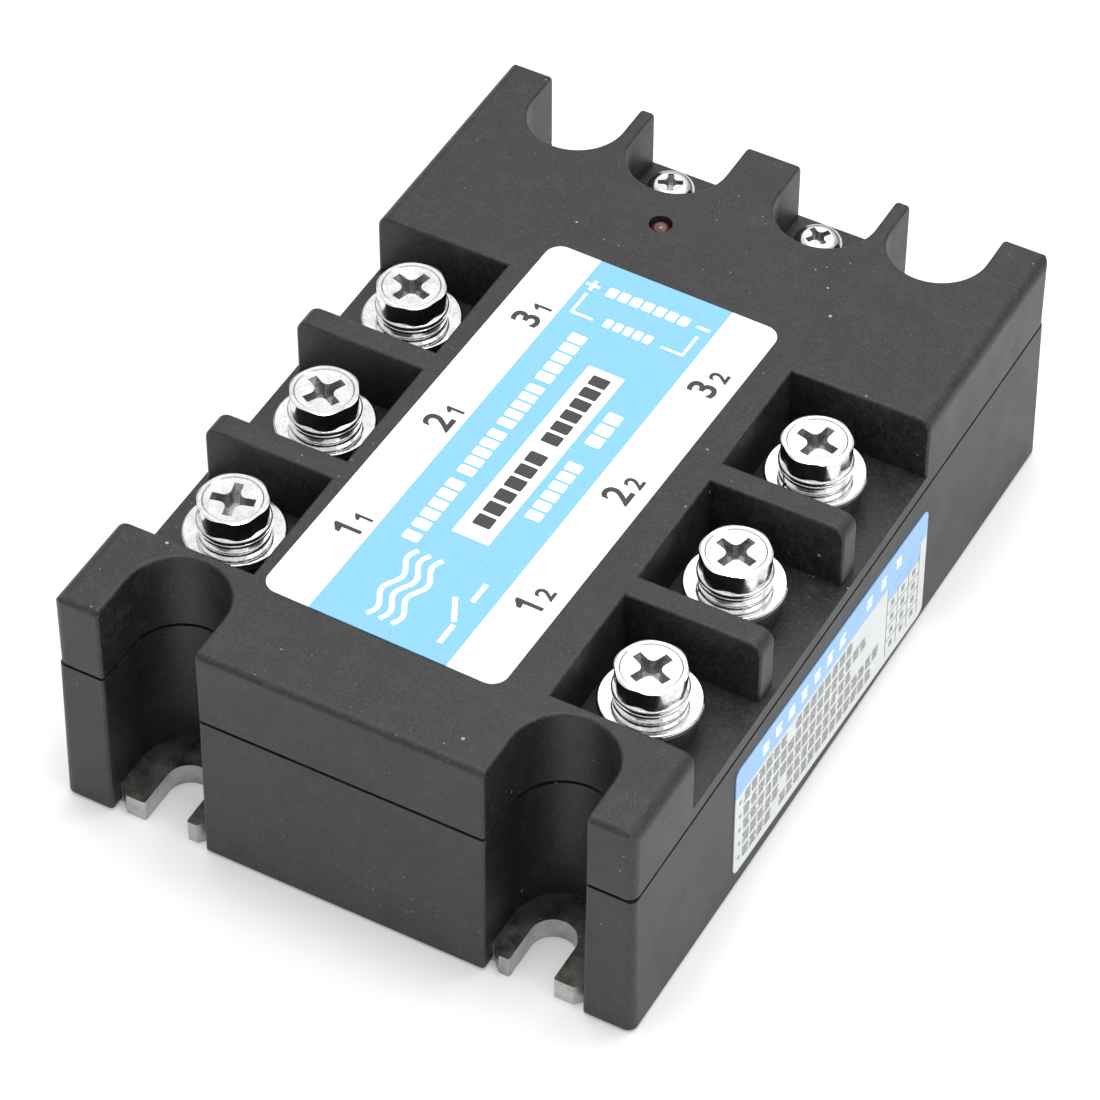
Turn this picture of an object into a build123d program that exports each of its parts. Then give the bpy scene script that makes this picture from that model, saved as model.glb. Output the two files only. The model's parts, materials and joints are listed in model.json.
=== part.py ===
from build123d import *

import math
import os

# A three-phase solid state relay. Millimetres, +Z up, origin on the mounting face under the
# middle of the relay. X runs across the relay and Y along it, with the control terminals at +Y.

# Overall size
CASE_WIDTH = 74.0  # at the foot of the lower case
CASE_LENGTH = 105.0
WALL_LEAN = 0.4  # how far each outer wall leans in between the foot and the seam
FOOT_Z = 0.2  # the case stops just above the mounting face, so that the plate bears on it
SEAM_Z = 22.0
TOP_Z = 32.65
COVER_WIDTH = CASE_WIDTH - 2 * WALL_LEAN
COVER_LENGTH = CASE_LENGTH - 2 * WALL_LEAN
CORNER_RADIUS = 1.2
SIDE_TOP_RADIUS = 1.8
END_TOP_RADIUS = 0.9
RIM_RADIUS = 0.45
FOOT_RADIUS = 0.4
GROOVE_HEIGHT = 0.45  # the shadow line along the seam
GROOVE_DEPTH = 0.5
BAY_GROOVE_DEPTH = 0.4

# Base plate
PLATE_WIDTH = 71.2
PLATE_LENGTH = 103.6  # over the tabs
PLATE_THICKNESS = 3.0
PLATE_CORNER = 2.0
PLATE_FIT = 0.1  # gap between the plate and its pocket
SLOT_X = 23.8
SLOT_ARC_Y = 46.8
SLOT_RADIUS = 2.8
SLOT_MOUTH_RADIUS = 0.3
TAB_HALF_WIDTH = 5.9  # the plate's ends reach out into the mounting bays
TAB_REACH = 1.2

# Mounting bays and control bays, open at the ends of the relay
BAY_X = 24.4
BAY_RADIUS = 6.2
FRONT_BAY_ARC_Y = -45.86
BACK_BAY_ARC_Y = 46.95
CONTROL_X = 10.0
CONTROL_BAY_RADIUS = 6.4
CONTROL_BAY_ARC_Y = 46.1
CONTROL_LEDGE_Z = 24.4

# Output terminal recesses, open at the sides of the cover
RECESS_INNER_X = 18.8
RECESS_LENGTH = 17.1
RECESS_PITCH = 20.35
RECESS_MIDDLE_Y = -9.5
RECESS_FLOOR_Z = 23.75
RIB_END_X = 35.8
RIB_TOP_RADIUS = 1.8
RIB_EDGE_RADIUS = 0.4

# Output terminals and their screws
TERMINAL_X = 26.65
TERMINAL_PITCH = 20.1
TERMINAL_MIDDLE_Y = -9.8
BOSS_RADIUS = 5.35
BOSS_TOP_Z = 27.3
POST_RADIUS = 4.2
POST_FIT = 0.05
POST_FOOT_Z = 8.0
THREAD_DEPTH = 13.0
M5_BORE_RADIUS = 2.55
M3_BORE_RADIUS = 1.56

# Shell
WALL = 2.2
CEILING = 2.0
INNER_X = 34.4
INNER_FRONT_Y = -37.5
INNER_BACK_Y = 38.6
NOSE_X = 16.0
NOSE_Y = 50.0
LIP_THICKNESS = 1.2
LIP_DEPTH = 1.6
LIP_FIT = 0.1

# Power stage, one stack for each phase
SUBSTRATE = (44.0, 14.0, 1.0)
ISLAND = (20.0, 12.0, 0.3)
ISLAND_X = 11.0
DIE = (5.5, 5.5, 0.4)
DIE_X = 6.0
DIE_Y = 2.8
GATE_X = 8.0
GATE_Y = 4.8
GATE_PIN_RADIUS = 0.3
SUBSTRATE_TOP = PLATE_THICKNESS + SUBSTRATE[2]
ISLAND_TOP = SUBSTRATE_TOP + ISLAND[2]
DIE_TOP = ISLAND_TOP + DIE[2]
POTTING_TOP = 16.4

# Driver board
BOARD = (31.0, 95.0, 1.6)
BOARD_MIDDLE_Y = 1.5
BOARD_Z = 20.4
BOARD_TOP = BOARD_Z + BOARD[2]
LED_X = -6.3
LED_Y = 34.4
LED_RADIUS = 1.3
LED_HOLE_RADIUS = 1.45
LED_TOP = 32.6

# Control terminals
CONTROL_POST_SHIFT = -0.7  # the posts stand a little to the left in their bays
CONTROL_POST_Y = 45.4
CONTROL_POST_RADIUS = 2.6
CONTROL_POST_TOP = 25.5
CONTROL_POST_FOOT = 16.5

# Labels
LABEL_THICKNESS = 0.12
TOP_LABEL = (30.8, 65.1)
TOP_LABEL_CENTRE = (-1.1, -7.6)
TOP_LABEL_TURN = -1.3
TOP_LABEL_CORNER = 2.0
SIDE_LABEL = (48.8, 16.7)
SIDE_LABEL_CENTRE = (-4.2, 10.33)
SIDE_LABEL_TURN = -1.6
SIDE_LABEL_CORNER = 1.1

BOTTOM = (Align.CENTER, Align.CENTER, Align.MIN)
PHASES = ("a", "b", "c")  # from the front of the relay to the back
SIDES = {"1": -1, "2": 1}
# How far each head happens to be turned when its screw is tight
HEAD_TURNS = {"a1": 15, "b1": 62, "c1": 74, "a2": 67, "b2": 74, "c2": 79}
POLES = {"plus": -1, "minus": 1}
POLE_TURNS = {"plus": 25, "minus": 55}


def post_x(side):
    """How far across the relay a control post stands."""
    return side * CONTROL_X + CONTROL_POST_SHIFT


def block(size, x, y, z):
    """A box with its underside centred at x, y, z."""
    return Pos(x, y, z) * Box(*size, align=BOTTOM)


def rod(radius, height, x, y, z):
    """An upright cylinder standing at x, y, z."""
    return Pos(x, y, z) * Cylinder(radius, height, align=BOTTOM)


def phase_y(index):
    return TERMINAL_MIDDLE_Y + (index - 1) * TERMINAL_PITCH


def recess_y(index):
    return RECESS_MIDDLE_Y + (index - 1) * RECESS_PITCH


def bay(x, arc_y, radius, low, high):
    """The space of a round-ended bay that is open past the nearer end of the relay."""
    end = math.copysign(1, arc_y)
    reach = CASE_LENGTH / 2 + 2 - abs(arc_y)
    throat = block((2 * radius, reach, high - low), x, arc_y + end * reach / 2, low)
    return rod(radius, high - low, x, arc_y, low) + throat


def mounting_bays(low, high, margin=0):
    """The four bays over the mounting slots, wider by a margin all round."""
    bays = [
        bay(side * BAY_X, arc_y, BAY_RADIUS + margin, low, high)
        for side in (-1, 1)
        for arc_y in (FRONT_BAY_ARC_Y, BACK_BAY_ARC_Y)
    ]
    return Compound(bays)


def mouth_edges(shape):
    """The long upright edges where the bays meet the end faces."""
    chosen = []
    for edge in shape.edges().filter_by(GeomType.LINE):
        box = edge.bounding_box()
        upright = box.size.X < 0.01 and box.size.Y < 1 and box.size.Z > 5
        at_end = abs(edge.center().Y) > COVER_LENGTH / 2 - 0.1
        if upright and at_end and abs(edge.center().X) < BAY_X + BAY_RADIUS + 0.1:
            chosen.append(edge)
    return chosen


def base_plate():
    """An aluminium plate with a tapered tab in each mounting bay and a U slot in each tab."""
    outline = RectangleRounded(PLATE_WIDTH, PLATE_LENGTH - 2 * TAB_REACH, PLATE_CORNER)
    tip_y = PLATE_LENGTH / 2
    root_y = tip_y - TAB_REACH
    for side in (-1, 1):
        for end in (-1, 1):
            tab = Polyline(
                (-TAB_HALF_WIDTH, end * SLOT_ARC_Y),
                (-TAB_HALF_WIDTH, end * root_y),
                (-TAB_HALF_WIDTH + TAB_REACH, end * tip_y),
                (TAB_HALF_WIDTH - TAB_REACH, end * tip_y),
                (TAB_HALF_WIDTH, end * root_y),
                (TAB_HALF_WIDTH, end * SLOT_ARC_Y),
                close=True,
            )
            outline += Pos(side * BAY_X, 0) * make_face(tab)
    for side in (-1, 1):
        for end in (-1, 1):
            reach = tip_y + 1 - SLOT_ARC_Y
            outline -= Pos(side * SLOT_X, end * SLOT_ARC_Y) * Circle(SLOT_RADIUS)
            outline -= Pos(side * SLOT_X, end * (SLOT_ARC_Y + reach / 2)) * Rectangle(
                2 * SLOT_RADIUS, reach
            )
    mouths = [
        corner
        for corner in outline.vertices()
        if abs(abs(corner.Y) - tip_y) < 0.01
        and abs(abs(abs(corner.X) - SLOT_X) - SLOT_RADIUS) < 0.01
    ]
    return extrude(fillet(mouths, SLOT_MOUTH_RADIUS), PLATE_THICKNESS)


def inner_outline():
    """The plan of the space inside the lower case."""
    middle_y = (INNER_FRONT_Y + INNER_BACK_Y) / 2
    middle = Pos(0, middle_y) * Rectangle(2 * INNER_X, INNER_BACK_Y - INNER_FRONT_Y)
    return middle + Rectangle(2 * NOSE_X, 2 * NOSE_Y)


def lower_case():
    """A frame round the power stage, standing on the plate and open above and below."""
    foot = RectangleRounded(CASE_WIDTH, CASE_LENGTH, CORNER_RADIUS)
    lean = math.degrees(math.atan(WALL_LEAN / (SEAM_Z - FOOT_Z)))
    case = Pos(0, 0, FOOT_Z) * extrude(foot, SEAM_Z - GROOVE_HEIGHT - FOOT_Z, taper=lean)
    neck = RectangleRounded(
        COVER_WIDTH - 2 * GROOVE_DEPTH, COVER_LENGTH - 2 * GROOVE_DEPTH, CORNER_RADIUS
    )
    case += Pos(0, 0, SEAM_Z - GROOVE_HEIGHT) * extrude(neck, GROOVE_HEIGHT)
    case -= mounting_bays(0, TOP_Z)
    case = fillet(mouth_edges(case), RIM_RADIUS)
    case = fillet(case.edges().group_by(Axis.Z)[0], FOOT_RADIUS)
    case -= mounting_bays(SEAM_Z - GROOVE_HEIGHT, TOP_Z, BAY_GROOVE_DEPTH)
    width = PLATE_WIDTH + 2 * PLATE_FIT
    length = PLATE_LENGTH - 2 * TAB_REACH + 2 * PLATE_FIT
    case -= block((width, length, PLATE_THICKNESS), 0, 0, 0)
    return case - extrude(inner_outline(), SEAM_Z)


def crown(width, height, radius):
    """An upright rectangle with rounded upper corners, standing on the X axis."""
    face = Pos(0, height / 2) * Rectangle(width, height)
    return fillet(face.vertices().group_by(Axis.Y)[-1], radius)


def cover_block():
    """The outside of the cover before anything is cut from it."""
    height = TOP_Z - SEAM_Z
    plan = extrude(RectangleRounded(COVER_WIDTH, COVER_LENGTH, CORNER_RADIUS), height)
    front = crown(COVER_WIDTH, height, SIDE_TOP_RADIUS)
    side = crown(COVER_LENGTH, height, END_TOP_RADIUS)
    along = Rot(90, 0, 0) * extrude(front, CASE_LENGTH, both=True)
    across = Rot(0, 0, 90) * Rot(90, 0, 0) * extrude(side, CASE_WIDTH, both=True)
    return Pos(0, 0, SEAM_Z) * (plan & along & across)


def control_bays(low, high):
    """The two bays over the control terminals."""
    bays = [
        bay(side * CONTROL_X, CONTROL_BAY_ARC_Y, CONTROL_BAY_RADIUS, low, high)
        for side in (-1, 1)
    ]
    return Compound(bays)


def terminal_recesses():
    """The six terminal recesses and the step that shortens the ribs between them."""
    reach = CASE_WIDTH / 2 + 2 - RECESS_INNER_X
    height = TOP_Z + 1 - RECESS_FLOOR_Z
    spaces = [
        block(
            (reach, RECESS_LENGTH, height),
            side * (RECESS_INNER_X + reach / 2),
            recess_y(i),
            RECESS_FLOOR_Z,
        )
        for side in (-1, 1)
        for i in range(3)
    ]
    row = 2 * RECESS_PITCH + RECESS_LENGTH
    kept = crown(2 * RIB_END_X, TOP_Z - SEAM_Z, RIB_TOP_RADIUS)
    kept = Pos(0, RECESS_MIDDLE_Y, SEAM_Z) * Rot(90, 0, 0) * extrude(kept, row, both=True)
    step = block((CASE_WIDTH + 4, row, height), 0, RECESS_MIDDLE_Y, RECESS_FLOOR_Z)
    return spaces + [step - kept]


def rounded_ribs(cover):
    """Round the recesses' upper rims, the ribs' outer ends and the corners beside them."""
    row_ends = [RECESS_MIDDLE_Y + side * (RECESS_PITCH + RECESS_LENGTH / 2) for side in (-1, 1)]
    ends = []
    corners = []
    for edge in cover.edges().filter_by(Axis.Z):
        x, y = abs(edge.center().X), edge.center().Y
        if abs(x - RIB_END_X) < 0.01 and row_ends[0] + 1 < y < row_ends[1] - 1:
            ends.append(edge)
        if abs(x - COVER_WIDTH / 2) < 0.01 and min(abs(y - end) for end in row_ends) < 0.01:
            corners.append(edge)
    rims = [
        edge
        for edge in cover.edges().group_by(Axis.Z)[-1]
        if abs(abs(edge.center().X) - RECESS_INNER_X) < 0.01
    ]
    return fillet(ends + corners + rims, RIB_EDGE_RADIUS)


def cover_hollow():
    """The space under the cover's ceiling."""
    height = TOP_Z - CEILING - SEAM_Z
    back_y = CONTROL_BAY_ARC_Y - CONTROL_BAY_RADIUS - WALL
    front_y = -COVER_LENGTH / 2 + WALL
    middle = block(
        (2 * NOSE_X, back_y - front_y, height), 0, (back_y + front_y) / 2, SEAM_Z
    )
    start_y = recess_y(2) + RECESS_LENGTH / 2 + WALL
    back = block(
        (2 * (INNER_X - WALL), back_y - start_y, height), 0, (back_y + start_y) / 2, SEAM_Z
    )
    return middle + back


def top_cover():
    """The moulded cover: bays, recesses, bosses, a hollow inside and two locating lips."""
    cover = cover_block() - mounting_bays(0, TOP_Z + 1) - control_bays(CONTROL_LEDGE_Z, TOP_Z + 1)
    cover = fillet(mouth_edges(cover), RIM_RADIUS)
    cover -= terminal_recesses()
    cover = rounded_ribs(cover)
    for side in (-1, 1):
        for i in range(3):
            height = BOSS_TOP_Z - RECESS_FLOOR_Z
            cover += rod(BOSS_RADIUS, height, side * TERMINAL_X, phase_y(i), RECESS_FLOOR_Z)
            cover -= rod(POST_RADIUS + POST_FIT, TOP_Z, side * TERMINAL_X, phase_y(i), 0)
        cover -= rod(CONTROL_POST_RADIUS + POST_FIT, TOP_Z, post_x(side), CONTROL_POST_Y, 0)
    cover -= cover_hollow()
    cover -= rod(LED_HOLE_RADIUS, TOP_Z, LED_X, LED_Y, 0)
    lip_x = INNER_X - LIP_FIT - LIP_THICKNESS / 2
    lip_length = 2 * (-INNER_FRONT_Y - 3.5)
    for side in (-1, 1):
        size = (LIP_THICKNESS, lip_length, LIP_DEPTH)
        cover += block(size, side * lip_x, 0, SEAM_Z - LIP_DEPTH)
    return cover


def output_terminal(side, index):
    """A threaded post on a stepped strap that is soldered to its copper island."""
    strap = 1.2
    y = phase_y(index)
    island_out = ISLAND_X + ISLAND[0] / 2
    foot = block((6.0, 8.0, strap), side * (island_out - 3.0), y, ISLAND_TOP)
    riser = block(
        (strap, 8.0, POST_FOOT_Z + strap - ISLAND_TOP),
        side * (island_out - strap / 2),
        y,
        ISLAND_TOP,
    )
    inner_x = island_out - strap
    outer_x = TERMINAL_X + POST_RADIUS
    shelf = block(
        (outer_x - inner_x, 8.0, strap), side * (outer_x + inner_x) / 2, y, POST_FOOT_Z
    )
    height = BOSS_TOP_Z - POST_FOOT_Z
    post = rod(POST_RADIUS, height, side * TERMINAL_X, y, POST_FOOT_Z)
    bore = rod(
        M5_BORE_RADIUS, THREAD_DEPTH, side * TERMINAL_X, y, BOSS_TOP_Z - THREAD_DEPTH
    )
    return foot + riser + shelf + post - bore


def cross_outline(span, width, inner_radius):
    """A cross with rounded inner corners."""
    cross = Rectangle(span, width) + Rectangle(width, span)
    inner = [
        corner
        for corner in cross.vertices()
        if abs(abs(corner.X) - width / 2) < 0.01 and abs(abs(corner.Y) - width / 2) < 0.01
    ]
    return fillet(inner, inner_radius)


def cross_recess(span, width, depth):
    """The cutter for a cross recess, with its mouth at z = 0. It narrows downwards."""
    mouth = cross_outline(span, width, 0.75 * width)
    bottom = Pos(0, 0, -depth) * cross_outline(0.55 * span, 0.75 * width, 0.4 * width)
    body = loft([mouth, bottom])
    return body + extrude(mouth, 0.5)


def threaded_shank(radius, length, neck, pitch, depth):
    """A shank below z = 0 with a plain neck and ring grooves at the thread's pitch."""
    root = radius - depth
    tip = 0.3
    turns = int((length - neck - tip) / pitch - 0.25)
    points = [(0, 0), (root, 0), (root, -neck)]
    for i in range(turns):
        top = -neck - i * pitch
        points.append((radius, top - 0.4 * pitch))
        points.append((radius, top - 0.6 * pitch))
        points.append((root, top - pitch))
    points += [(root, -length + tip), (root - tip, -length), (0, -length)]
    profile = make_face(Polyline(points, close=True))
    return revolve(Plane.XZ * profile, Axis.Z)


def hexagon_head(screw):
    """A hexagon head on z = 0 with soft corners, a turned crown, a dished top and a flange."""
    height = screw["head"]
    outline = RegularPolygon(screw["flats"] / 2, 6, major_radius=False)
    prism = extrude(fillet(outline.vertices(), screw["corner"]), height)
    reach = screw["flats"] / math.sqrt(3)
    drop = (reach - screw["crown"]) * math.tan(math.radians(20))
    points = [
        (0, 0),
        (reach, 0),
        (reach, height - drop),
        (screw["crown"], height),
        (screw["dish"] + 0.15, height),
        (screw["dish"], height - 0.12),
        (0, height - 0.26),
    ]
    turned = revolve(Plane.XZ * make_face(Polyline(points, close=True)), Axis.Z)
    radius, thickness = screw["flange"]
    flange = rod(radius, thickness, 0, 0, 0)
    flange = fillet(flange.edges().filter_by(GeomType.CIRCLE), 0.35 * thickness)
    return (prism & turned) + flange


TERMINAL_SCREW = {
    "flats": 8.0,
    "head": 3.5,
    "crown": 3.95,
    "dish": 3.4,
    "corner": 2.8,
    "flange": (4.4, 0.8),
    "radius": 2.48,
    "length": 12.0,
    "neck": 2.0,
    "pitch": 0.8,
    "thread": 0.42,
    "spring": (2.6, 4.25, 1.3),
    "flat": (2.65, 6.0, 0.95),
}
CONTROL_SCREW = {
    "crown": 3.0,
    "head": 2.1,
    "radius": 1.48,
    "length": 8.0,
    "neck": 1.2,
    "pitch": 0.5,
    "thread": 0.27,
    "spring": (1.6, 2.65, 0.7),
    "flat": (1.62, 3.0, 0.5),
}


def stack_heights(screw, seat):
    """Where the spring washer and the head start, above a seat height."""
    spring_z = seat + screw["flat"][2]
    return spring_z, spring_z + screw["spring"][2]


def terminal_screw(side, index, turn):
    """A hexagon-head screw with a cross recess."""
    screw = TERMINAL_SCREW
    head = hexagon_head(screw)
    head -= Pos(0, 0, screw["head"] - 0.2) * cross_recess(5.2, 1.15, 1.9)
    body = head + threaded_shank(
        screw["radius"], screw["length"], screw["neck"], screw["pitch"], screw["thread"]
    )
    seat = stack_heights(screw, BOSS_TOP_Z)[1]
    return Pos(side * TERMINAL_X, phase_y(index), seat) * Rot(0, 0, turn) * body


def pan_head(radius, height):
    """A low domed head standing on z = 0."""
    dome = 0.45 * radius
    line = Polyline((0, height), (0, 0), (radius, 0), (radius, height - dome))
    arc = ThreePointArc(
        (radius, height - dome),
        (0.84 * radius, height - 0.25 * dome),
        (0.45 * radius, height),
    )
    top = Line((0.45 * radius, height), (0, height))
    return revolve(Plane.XZ * make_face(line + arc + top), Axis.Z)


def control_screw(side, turn):
    """A pan-head screw with a cross recess."""
    screw = CONTROL_SCREW
    head = pan_head(screw["crown"], screw["head"])
    head -= Pos(0, 0, screw["head"]) * cross_recess(3.1, 0.75, 1.2)
    body = head + threaded_shank(
        screw["radius"], screw["length"], screw["neck"], screw["pitch"], screw["thread"]
    )
    seat = stack_heights(screw, CONTROL_POST_TOP)[1]
    return Pos(post_x(side), CONTROL_POST_Y, seat) * Rot(0, 0, turn) * body


def flat_washer(inner, outer, thickness):
    """A washer standing on z = 0 with rounded outer edges."""
    ring = rod(outer, thickness, 0, 0, 0)
    ring = fillet(ring.edges().filter_by(GeomType.CIRCLE), 0.25 * thickness)
    return ring - rod(inner, thickness, 0, 0, 0)


def spring_washer(inner, outer, thickness):
    """A flattened split washer standing on z = 0, with a slanting slit."""
    ring = rod(outer, thickness, 0, 0, 0)
    ring = fillet(ring.edges().filter_by(GeomType.CIRCLE), 0.3 * thickness)
    ring -= rod(inner, thickness, 0, 0, 0)
    slit = Pos((inner + outer) / 2, 0, thickness / 2) * Rot(20, 0, 0)
    return ring - slit * Box(2 * (outer - inner), 0.35, 3 * thickness)


def control_terminal(side):
    """A threaded post through the driver board, with a collar soldered under the board."""
    x, y = post_x(side), CONTROL_POST_Y
    height = CONTROL_POST_TOP - CONTROL_POST_FOOT
    post = rod(CONTROL_POST_RADIUS, height, x, y, CONTROL_POST_FOOT)
    post += rod(CONTROL_POST_RADIUS + 0.8, 1.0, x, y, BOARD_Z - 1.0)
    return post - rod(M3_BORE_RADIUS, 8.0, x, y, CONTROL_POST_TOP - 8.0)


def ceramic_substrate(index):
    return block(SUBSTRATE, 0, phase_y(index), PLATE_THICKNESS)


def copper_islands():
    """Two bonded copper pads on each substrate."""
    return [
        block(ISLAND, side * ISLAND_X, phase_y(i), SUBSTRATE_TOP)
        for i in range(3)
        for side in (-1, 1)
    ]


def thyristor_dies(index):
    """An antiparallel pair: one die on each island, set diagonally."""
    return [
        block(DIE, side * DIE_X, phase_y(index) - side * DIE_Y, ISLAND_TOP) for side in (-1, 1)
    ]


def die_clips():
    """A bent strip from the top of each die to the opposite island."""
    strip = 0.5
    span = 2 * DIE_X - 3.0
    clips = []
    for i in range(3):
        for side in (-1, 1):
            y = phase_y(i) - side * DIE_Y
            bridge_z = DIE_TOP + 1.2
            die_foot = block((3.0, 3.0, strip), side * (DIE_X - 0.5), y, DIE_TOP)
            die_leg = block(
                (strip, 3.0, bridge_z + strip - DIE_TOP),
                side * (DIE_X - 2.0 + strip / 2),
                y,
                DIE_TOP,
            )
            far_x = DIE_X - 2.0 - span
            bridge = block(
                (span, 3.0, strip), side * (DIE_X - 2.0 - span / 2), y, bridge_z
            )
            far_leg = block(
                (strip, 3.0, bridge_z + strip - ISLAND_TOP),
                side * (far_x + strip / 2),
                y,
                ISLAND_TOP,
            )
            far_foot = block((2.0, 3.0, strip), side * (far_x + 1.0 - 2.0), y, ISLAND_TOP)
            clips.append(die_foot + die_leg + bridge + far_leg + far_foot)
    return clips


def gate_pins():
    """A pin from each die's gate pad up through the driver board."""
    return [
        rod(
            GATE_PIN_RADIUS,
            BOARD_TOP + 0.8 - DIE_TOP,
            side * GATE_X,
            phase_y(i) - side * GATE_Y,
            DIE_TOP,
        )
        for i in range(3)
        for side in (-1, 1)
    ]


def driver_board():
    """The control board, drilled for the gate pins and the control posts."""
    board = block(BOARD, 0, BOARD_MIDDLE_Y, BOARD_Z)
    for side in (-1, 1):
        for i in range(3):
            y = phase_y(i) - side * GATE_Y
            board -= rod(GATE_PIN_RADIUS + 0.1, SEAM_Z + 1, side * GATE_X, y, 0)
        board -= rod(
            CONTROL_POST_RADIUS + POST_FIT, SEAM_Z + 1, post_x(side), CONTROL_POST_Y, 0
        )
    return board


def optocoupler(index):
    """A six-leg coupler standing on the board."""
    x, y = -9.0, phase_y(index) + 1.5
    body = block((6.4, 8.6, 3.4), x, y, BOARD_TOP + 0.8)
    body = chamfer(body.edges().group_by(Axis.Z)[-1], 0.35)
    for side in (-1, 1):
        for step in (-2.54, 0, 2.54):
            shoulder = block((0.9, 0.9, 0.3), x + side * 3.5, y + step, BOARD_TOP + 2.0)
            leg = block((0.3, 0.6, 2.3), x + side * 3.8, y + step, BOARD_TOP)
            body += shoulder + leg
    return body


def axial_part(radius, length, x, y, z, lead, pitch):
    """A round two-lead part lying along Y, with its leads bent down to the board."""
    body = Cylinder(radius, length)
    body = fillet(body.edges().filter_by(GeomType.CIRCLE), 0.3 * radius)
    body = Pos(x, y, z) * Rot(90, 0, 0) * (body + Cylinder(lead, pitch))
    for end in (-1, 1):
        size = (1.5 * lead, 1.5 * lead, z - BOARD_TOP)
        body += block(size, x, y + end * (pitch / 2 - lead), BOARD_TOP)
    return body


def gate_resistors():
    """Two for each phase."""
    return [
        axial_part(1.1, 5.5, x, phase_y(i) + 1.5, BOARD_TOP + 1.6, 0.3, 9.0)
        for i in range(3)
        for x in (-3.0, 0.2)
    ]


def snubber_resistors():
    return [
        axial_part(1.6, 8.0, 4.6, phase_y(i) + 1.0, BOARD_TOP + 2.0, 0.35, 12.0)
        for i in range(3)
    ]


def snubber_capacitors():
    """A boxed film capacitor for each phase, standing on the board."""
    return [
        fillet(
            block((5.0, 12.5, 7.8), 11.6, phase_y(i), BOARD_TOP).edges().group_by(Axis.Z)[-1],
            0.5,
        )
        for i in range(3)
    ]


def regulator_transistor():
    """A small three-leg transistor with a flat face."""
    x, y, z = 3.0, 27.0, BOARD_TOP + 2.5
    body = rod(2.3, 4.6, x, y, z) - block((6.0, 2.0, 6.0), x, y - 2.4, z)
    for step in (-1.27, 0, 1.27):
        body += block((0.45, 0.45, z - BOARD_TOP), x + step, y + 0.3, BOARD_TOP)
    return body


def input_diode():
    return axial_part(1.3, 5.0, -1.5, 27.0, BOARD_TOP + 1.7, 0.35, 9.0)


def status_led():
    """A 3 mm lamp with a flange under the cover's ceiling."""
    flange_z = TOP_Z - CEILING - 1.0
    barrel = LED_TOP - LED_RADIUS - flange_z
    lens = rod(LED_RADIUS, barrel, LED_X, LED_Y, flange_z)
    lens += Pos(LED_X, LED_Y, flange_z + barrel) * Sphere(LED_RADIUS)
    return lens + rod(LED_RADIUS + 0.4, 0.9, LED_X, LED_Y, flange_z)


def led_leads():
    height = TOP_Z - CEILING - 1.0 - BOARD_TOP
    return [block((0.5, 0.5, height), LED_X + step, LED_Y, BOARD_TOP) for step in (-0.8, 0.8)]


def potting_compound(embedded):
    """Resin poured round the power stage, up to a level below the driver board."""
    fill = Pos(0, 0, PLATE_THICKNESS) * extrude(inner_outline(), POTTING_TOP - PLATE_THICKNESS)
    for piece in embedded:
        fill -= piece
    return fill


def top_label():
    """A sticker laid slightly askew on the cover."""
    sheet = extrude(RectangleRounded(*TOP_LABEL, TOP_LABEL_CORNER), LABEL_THICKNESS)
    return Pos(*TOP_LABEL_CENTRE, TOP_Z) * Rot(0, 0, TOP_LABEL_TURN) * sheet


def side_label():
    """A sticker laid slightly askew on the leaning right-hand wall."""
    lean = math.degrees(math.atan(WALL_LEAN / (SEAM_Z - FOOT_Z)))
    y, z = SIDE_LABEL_CENTRE
    wall_x = CASE_WIDTH / 2 - (z - FOOT_Z) * math.tan(math.radians(lean))
    sheet = extrude(RectangleRounded(*SIDE_LABEL, SIDE_LABEL_CORNER), LABEL_THICKNESS)
    upright = Rot(0, 90 - lean, 0) * Rot(0, 0, 90 + SIDE_LABEL_TURN)
    return Pos(wall_x + 0.004, y, z) * upright * sheet


def save(name, shape):
    """Write one node, as a single solid or as a group of separate ones."""
    solids = shape if isinstance(shape, list) else shape.solids()
    shape = solids[0] if len(solids) == 1 else Compound(children=list(solids))
    shape.label = name
    export_step(shape, f"parts/{name}.step")


def save_terminal(name, side, index):
    """Write one output terminal with its screw and both washers."""
    screw = TERMINAL_SCREW
    x, y = side * TERMINAL_X, phase_y(index)
    spring_z = stack_heights(screw, BOSS_TOP_Z)[0]
    turn = HEAD_TURNS[name]
    save(f"terminal_screw_{name}", terminal_screw(side, index, turn))
    ring = Rot(0, 0, 3 * turn) * spring_washer(*screw["spring"])
    save(f"spring_washer_{name}", Pos(x, y, spring_z) * ring)
    save(f"flat_washer_{name}", Pos(x, y, BOSS_TOP_Z) * flat_washer(*screw["flat"]))


def save_control(name, side):
    """Write one control terminal with its screw and both washers."""
    screw = CONTROL_SCREW
    x, y = post_x(side), CONTROL_POST_Y
    spring_z = stack_heights(screw, CONTROL_POST_TOP)[0]
    save(f"control_terminal_{name}", control_terminal(side))
    save(f"control_screw_{name}", control_screw(side, POLE_TURNS[name]))
    ring = Rot(0, 0, 5 * POLE_TURNS[name]) * spring_washer(*screw["spring"])
    save(f"control_spring_washer_{name}", Pos(x, y, spring_z) * ring)
    save(f"control_flat_washer_{name}", Pos(x, y, CONTROL_POST_TOP) * flat_washer(*screw["flat"]))


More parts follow.
